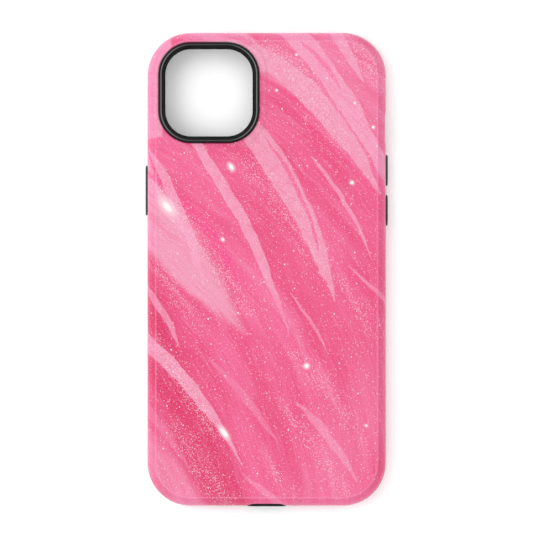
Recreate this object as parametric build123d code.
from build123d import *
import math
import os

# Two-layer protective case for a phone of the 6.7 inch class, in millimetres.
# The case lies face down: its front rim is on z = 0 and its back faces +Z. +Y points to the camera end,
# and +X is to the right when looking at the back. The origin is under the middle of the case, on the
# surface that it lies on.
# The hard outer_shell and the soft inner_liner are nested trays. Each button cover is a pad that stands
# through a window in both trays, and a thin web of the liner's material joins the pad to the liner.

# Phone that the case is made for
PHONE_W, PHONE_L, PHONE_T = 78.1, 160.8, 7.8
PHONE_CORNER_R = 12.2

# Walls and fits
SIDE_WALL = 2.975          # the phone's side to the outermost surface of the case
POCKET_GAP = 0.1           # phone to liner
NEST_GAP = 0.05            # liner to shell, on the sides
SHELL_SIDE_T, SHELL_BACK_T = 1.4, 1.4
LINER_BACK_T = 1.2
LIP_T = 1.2                # height of the front lip above the screen
LIP_OVERHANG = 1.3         # how far the lip reaches over the screen

HALF_W = PHONE_W / 2 + SIDE_WALL
HALF_L = PHONE_L / 2 + SIDE_WALL
CORNER_R = PHONE_CORNER_R + SIDE_WALL

# Heights
MID_Z = LIP_T + PHONE_T / 2                      # middle of the phone's side
POCKET_TOP = LIP_T + PHONE_T + POCKET_GAP
LINER_TOP = POCKET_TOP + LINER_BACK_T
BACK_Z = LINER_TOP + SHELL_BACK_T                # flat back of the shell
SHELL_EDGE_Z = 1.6                               # front edge of the shell
FLANGE_TOP = SHELL_EDGE_Z - NEST_GAP

# Cross-section of the sides. An inset is measured inwards from the outermost surface.
CREASE_INSET = 3.0         # edge of the flat back
ROLL_R = 5.5               # arc from the flat back down to the side
FLAT_LOW_Z = 4.0           # the side is upright from here to the arc, and curves in below
EDGE_INSET = 0.6           # inset of the shell's front edge
SHELL_IN = SHELL_SIDE_T + NEST_GAP
LINER_IN = SHELL_IN + NEST_GAP
POCKET_IN = SIDE_WALL - POCKET_GAP
MOUTH_IN = SIDE_WALL + LIP_OVERHANG
NEST_CORNER_R = 2.2
POCKET_CORNER_R = 1.0
FLANGE_IN = 0.75
FLANGE_ROUND, LIP_ROUND = 0.8, 0.5
CORE_IN = 10.0             # the swept edge band ends here, and a plain plate fills the middle

# Camera window. The liner stands through the shell as a raised frame with a funnel inside it.
CAM_X, CAM_Y = -20.33, 62.13
RING_SIZE, RING_CORNER_R = 35.24, 11.3
RING_TOP = BACK_Z + 1.5
RING_ROUND = 0.45          # outer corner of the crest
RING_LAND = 0.4            # flat of the crest
RING_WALL = 2.27           # outside of the frame to the clear opening
THROAT_Z = BACK_Z - 0.3    # the funnel ends here
CAM_EDGE_ROUND = 0.45      # edge of the shell's hole
WINDOW_ROUND = 0.25        # edges of the other windows
PLATFORM_OUT = 3.4         # the shell is raised this far round the frame
PLATFORM_RISE = 0.5
PLATFORM_SLOPE_W = 1.3     # width of the soft step up to the raised area

# Buttons: name, side (+1 is +X), middle along Y, length
BUTTONS = (
    ("power_button", -1, 27.8, 17.6),
    ("volume_up", +1, 34.9, 10.9),
    ("volume_down", +1, 20.8, 10.9),
)
PAD_H = 3.8
PAD_PROUD = 0.7
PAD_ROUND = 0.5
PAD_FOOT = PHONE_W / 2 + 0.7       # inner end of a pad, just clear of the phone's own key
PAD_TO_SHELL = 0.35
PAD_TO_WEB = 0.05
WEB_REACH, WEB_T = 1.1, 0.45
WEB_LOW = PHONE_W / 2 + 0.9

# Mute switch window
MUTE_Y = 49.8
MUTE_L, MUTE_H, MUTE_ROUND = 10.4, 5.2, 2.3
FLARE_L, FLARE_LOW, FLARE_HIGH, FLARE_ROUND = 13.4, 2.6, 8.8, 2.8

# Bottom end: the liner's frame round the charging port, and a sound slot on each side of it
PORT_W, PORT_H = 12.2, 5.8
FRAME_W, FRAME_TOP, FRAME_CORNER_R = 14.4, 9.3, 3.2
FRAME_PROUD, FRAME_ROUND = 0.15, 0.7
SLOT_X, SLOT_L, SLOT_H = 18.5, 11.0, 2.0
SLOT_STEP = 0.5            # the slot is this much larger all round in the shell

# Shallow square cells in the liner's inner face
CELL_COLUMNS, CELL_ROWS = 6, 13
CELL_FIELD_W, CELL_FIELD_L = 66.0, 148.0
CELL_RIB, CELL_DEPTH, CELL_ROUND = 1.6, 0.3, 1.5
CELL_CLEAR = 2.5           # cells keep this far from the camera opening


def outline(inset):
    """The case's outline, moved in by inset."""
    return RectangleRounded(2 * (HALF_W - inset), 2 * (HALF_L - inset), CORNER_R - inset)


def plate(inset, low, high):
    """A flat plate with the case's outline, moved in by inset."""
    return Pos(0, 0, low) * extrude(outline(inset), high - low)


def round_path(half_x, half_y, corner_r):
    """A rounded rectangle as one path, which starts in the middle of its +X side."""
    edges = []
    here = Vector(half_x, 0)
    for quarter, (x, y) in enumerate(((1, 1), (-1, 1), (-1, -1), (1, -1))):
        centre = (x * (half_x - corner_r), y * (half_y - corner_r))
        arc = CenterArc(centre, corner_r, 90 * quarter, 90)
        edges += [Line(here, arc @ 0), arc]
        here = arc @ 1
    edges.append(Line(here, (half_x, 0)))
    return Wire(edges)


def around(section, half_x, half_y, corner_r):
    """Carries a closed section, drawn as (inset, z), once round a rounded rectangle."""
    plane = Plane(origin=(half_x, 0, 0), x_dir=(-1, 0, 0), z_dir=(0, 1, 0))
    return sweep(plane * section, path=round_path(half_x, half_y, corner_r))


def rim_sweep(section):
    """Carries a section round the case's outermost outline."""
    return around(section, HALF_W, HALF_L, CORNER_R)


def envelope(rise=0.0):
    """The solid inside the shell's outer surface, with its back raised by rise."""
    top = BACK_Z + rise
    roll_z = top - math.sqrt(ROLL_R**2 - (ROLL_R - CREASE_INSET) ** 2)
    roll = CenterArc((ROLL_R, roll_z), ROLL_R, 180, -math.degrees(math.acos(1 - CREASE_INSET / ROLL_R)))
    low = FLAT_LOW_Z - SHELL_EDGE_Z
    tuck_r = (low**2 + EDGE_INSET**2) / (2 * EDGE_INSET)
    tuck = CenterArc((tuck_r, FLAT_LOW_Z), tuck_r, 180, math.degrees(math.asin(low / tuck_r)))
    inside = Polyline(roll @ 1, (CORE_IN, top), (CORE_IN, SHELL_EDGE_Z), tuck @ 1)
    section = make_face([Line(tuck @ 0, roll @ 0), roll, *inside.edges(), tuck])
    return rim_sweep(section) + plate(CORE_IN, SHELL_EDGE_Z, top)


def tray_block(inset, low, high, corner_r):
    """The solid that would fill a tray: upright sides and a rounded edge round the top."""
    arc = CenterArc((inset + corner_r, high - corner_r), corner_r, 180, -90)
    inside = Polyline(arc @ 1, (CORE_IN, high), (CORE_IN, low), (inset, low), arc @ 0)
    return rim_sweep(make_face([arc, *inside.edges()])) + plate(CORE_IN, low, high)


def rounded_square(size, corner_r):
    """A rounded square centred on the camera window."""
    return Pos(CAM_X, CAM_Y) * RectangleRounded(size, size, corner_r)


def side_plane(side, x):
    """A plane that faces out of the +X or -X side. Its first axis is along Y, and its second is Z."""
    return Plane(origin=(side * x, 0, 0), x_dir=(0, side, 0), z_dir=(side, 0, 0))


def side_bar(side, y, length, height, low_x, high_x):
    """A bar with round ends that runs outwards through a side wall, from low_x to high_x."""
    shape = Pos(side * y, MID_Z) * SlotOverall(length, height)
    return extrude(side_plane(side, low_x) * shape, high_x - low_x)


def end_bar(x, width, low, high, corner_r, inner_y, outer_y):
    """A rounded bar through the bottom wall, between two distances from the middle of the case."""
    plane = Plane(origin=(0, -inner_y, 0), x_dir=(1, 0, 0), z_dir=(0, -1, 0))
    shape = Pos(x, (low + high) / 2) * RectangleRounded(width, high - low, corner_r)
    return extrude(plane * shape, outer_y - inner_y)


def sound_slots(extra):
    """The two sound slots as bars through the bottom wall, larger all round by extra."""
    high = MID_Z + SLOT_H / 2 + extra
    low = MID_Z - SLOT_H / 2 - extra
    length = SLOT_L + 2 * extra
    round_r = 0.49 * (high - low)
    return [end_bar(x, length, low, high, round_r, HALF_L - 5, HALF_L + 2) for x in (-SLOT_X, SLOT_X)]


def port_frame_bar(extra, outer_y):
    """The block of the port frame, which is open towards the front, larger all round by extra."""
    width = FRAME_W + 2 * extra
    corner_r = FRAME_CORNER_R + extra
    return end_bar(0, width, -10, FRAME_TOP + extra, corner_r, HALF_L - LINER_IN - 0.5, outer_y)


def camera_platform():
    """The shallow raised area round the camera window, cut off by the case's own rounded edge."""
    half = RING_SIZE / 2 + PLATFORM_OUT
    corner_r = RING_CORNER_R + PLATFORM_OUT
    top = BACK_Z + PLATFORM_RISE
    core = 2 * PLATFORM_SLOPE_W
    step = Spline((0, BACK_Z), (PLATFORM_SLOPE_W, top), tangents=((1, 0), (1, 0)))
    inside = Polyline(step @ 1, (core, top), (core, SHELL_EDGE_Z), (0, SHELL_EDGE_Z), step @ 0)
    band = Pos(CAM_X, CAM_Y) * around(make_face([step, *inside.edges()]), half, half, corner_r)
    middle = extrude(rounded_square(2 * (half - core), corner_r - core), top - SHELL_EDGE_Z)
    return (band + Pos(0, 0, SHELL_EDGE_Z) * middle) & envelope(PLATFORM_RISE)


def mute_flare():
    """The mute switch window in the shell, which widens outwards."""
    inner_plane = side_plane(1, HALF_W - SHELL_IN - 0.2)
    outer_plane = side_plane(1, HALF_W + 0.3)
    window = RectangleRounded(MUTE_L + 0.2, MUTE_H + 0.2, MUTE_ROUND)
    mouth = RectangleRounded(FLARE_L, FLARE_HIGH - FLARE_LOW, FLARE_ROUND)
    mouth_z = (FLARE_HIGH + FLARE_LOW) / 2
    return loft([inner_plane * Pos(MUTE_Y, MID_Z) * window, outer_plane * Pos(MUTE_Y, mouth_z) * mouth])


def cut_window(solid, cutter, radius):
    """Cuts a window through a solid, and rounds the edge where it meets the solid's outer surface."""
    surfaces = (solid.shell(), cutter.shell())
    solid -= cutter

    def is_rim(edge):
        return all(surface.distance_to(edge @ 0.5) < 0.01 for surface in surfaces)

    return fillet(solid.edges().filter_by(is_rim), radius)


def outer_shell():
    """The hard printed shell."""
    shell = envelope() + camera_platform()
    hole = rounded_square(RING_SIZE + 2 * NEST_GAP, RING_CORNER_R + NEST_GAP)
    shell = cut_window(shell, Pos(0, 0, LINER_TOP - 1) * extrude(hole, 4), CAM_EDGE_ROUND)
    windows = [mute_flare(), port_frame_bar(NEST_GAP, HALF_L + 2), *sound_slots(SLOT_STEP)]
    for _, side, y, length in BUTTONS:
        height = PAD_H + 2 * PAD_TO_SHELL
        windows.append(side_bar(side, y, length + 2 * PAD_TO_SHELL, height, HALF_W - 3, HALF_W + 1))
    for window in windows:
        shell = cut_window(shell, window, WINDOW_ROUND)
    return shell - tray_block(SHELL_IN, 0, LINER_TOP, NEST_CORNER_R)


def camera_frame():
    """The raised frame of the liner, from its inner face to its crest."""
    corner = CenterArc((RING_ROUND, RING_TOP - RING_ROUND), RING_ROUND, 180, -90)
    funnel = Polyline(corner @ 1, (RING_ROUND + RING_LAND, RING_TOP), (RING_WALL, THROAT_Z))
    foot = Polyline(funnel @ 1, (RING_WALL, POCKET_TOP), (0, POCKET_TOP), corner @ 0)
    section = make_face([corner, *funnel.edges(), *foot.edges()])
    return Pos(CAM_X, CAM_Y) * around(section, RING_SIZE / 2, RING_SIZE / 2, RING_CORNER_R)


def liner_tray():
    """The liner's back, side walls, front flange and lip, in one section."""
    nest = CenterArc((LINER_IN + NEST_CORNER_R, LINER_TOP - NEST_CORNER_R), NEST_CORNER_R, 180, -90)
    pocket_centre = (POCKET_IN + POCKET_CORNER_R, POCKET_TOP - POCKET_CORNER_R)
    pocket = CenterArc(pocket_centre, POCKET_CORNER_R, 90, 90)
    lip = CenterArc((MOUTH_IN - LIP_ROUND, LIP_ROUND), LIP_ROUND, 0, -90)
    flange = CenterArc((FLANGE_IN + FLANGE_ROUND, FLANGE_ROUND), FLANGE_ROUND, 270, -90)
    edges = [
        nest,
        *Polyline(nest @ 1, (CORE_IN, LINER_TOP), (CORE_IN, POCKET_TOP), pocket @ 0).edges(),
        pocket,
        *Polyline(pocket @ 1, (POCKET_IN, LIP_T), (MOUTH_IN, LIP_T), lip @ 0).edges(),
        lip,
        Line(lip @ 1, flange @ 0),
        flange,
        *Polyline(flange @ 1, (FLANGE_IN, FLANGE_TOP), (LINER_IN, FLANGE_TOP), nest @ 0).edges(),
    ]
    return rim_sweep(make_face(edges)) + plate(CORE_IN, POCKET_TOP, LINER_TOP)


def cells():
    """The shallow cells in the liner's inner face, except where the camera opening is."""
    step_x, step_y = CELL_FIELD_W / CELL_COLUMNS, CELL_FIELD_L / CELL_ROWS
    shape = RectangleRounded(step_x - CELL_RIB, step_y - CELL_RIB, CELL_ROUND)
    reach = RING_SIZE / 2 - RING_WALL + CELL_CLEAR
    found = []
    for column in range(CELL_COLUMNS):
        for row in range(CELL_ROWS):
            x = (column - (CELL_COLUMNS - 1) / 2) * step_x
            y = (row - (CELL_ROWS - 1) / 2) * step_y
            if abs(x - CAM_X) < reach + step_x / 2 and abs(y - CAM_Y) < reach + step_y / 2:
                continue
            found.append(Pos(x, y, POCKET_TOP - 1) * extrude(shape, 1 + CELL_DEPTH))
    return found


def inner_liner():
    """The soft liner."""
    frame_end = HALF_L + FRAME_PROUD
    front_half_space = Pos(0, 0, 50) * Box(200, 200, 100)
    frame = port_frame_bar(0, frame_end) & front_half_space
    frame = fillet(frame.faces().sort_by(Axis.Y)[0].edges(), FRAME_ROUND)
    camera_hole = rounded_square(RING_SIZE - 2 * RING_WALL, RING_CORNER_R - RING_WALL)
    liner = liner_tray() + frame - Pos(0, 0, POCKET_TOP - 1) * extrude(camera_hole, 4)
    liner += camera_frame()
    port_low = MID_Z - PORT_H / 2
    port = end_bar(0, PORT_W, port_low, port_low + PORT_H, 0.49 * PORT_H, HALF_L - 5, HALF_L + 2)
    mute = Pos(MUTE_Y, MID_Z) * RectangleRounded(MUTE_L, MUTE_H, MUTE_ROUND)
    for window in (port, extrude(side_plane(1, HALF_W - 5) * mute, 5)):
        liner = cut_window(liner, window, WINDOW_ROUND)
    liner -= sound_slots(0)
    for _, side, y, length in BUTTONS:
        liner -= side_bar(side, y, length + 2 * WEB_REACH, PAD_H + 2 * WEB_REACH, HALF_W - 5, HALF_W)
    liner -= cells()
    return liner


def button_pad(side, y, length):
    """A button cover, which slides towards the phone when it is pressed."""
    pad = side_bar(side, y, length, PAD_H, PAD_FOOT, HALF_W + PAD_PROUD)
    outer_face = pad.faces().sort_by(Axis.X)[-1 if side > 0 else 0]
    return fillet(outer_face.edges(), PAD_ROUND)


def button_web(side, y, length):
    """The thin web of the liner round a button cover."""
    outer_l, outer_h = length + 2 * WEB_REACH, PAD_H + 2 * WEB_REACH
    inner_l, inner_h = length + 2 * PAD_TO_WEB, PAD_H + 2 * PAD_TO_WEB
    web = side_bar(side, y, outer_l, outer_h, WEB_LOW, WEB_LOW + WEB_T)
    return web - side_bar(side, y, inner_l, inner_h, WEB_LOW - 1, WEB_LOW + 1)


os.makedirs("parts", exist_ok=True)
export_step(outer_shell(), "parts/outer_shell.step")
export_step(inner_liner(), "parts/inner_liner.step")
for name, side, y, length in BUTTONS:
    export_step(button_pad(side, y, length), f"parts/{name}_pad.step")
    export_step(button_web(side, y, length), f"parts/{name}_web.step")
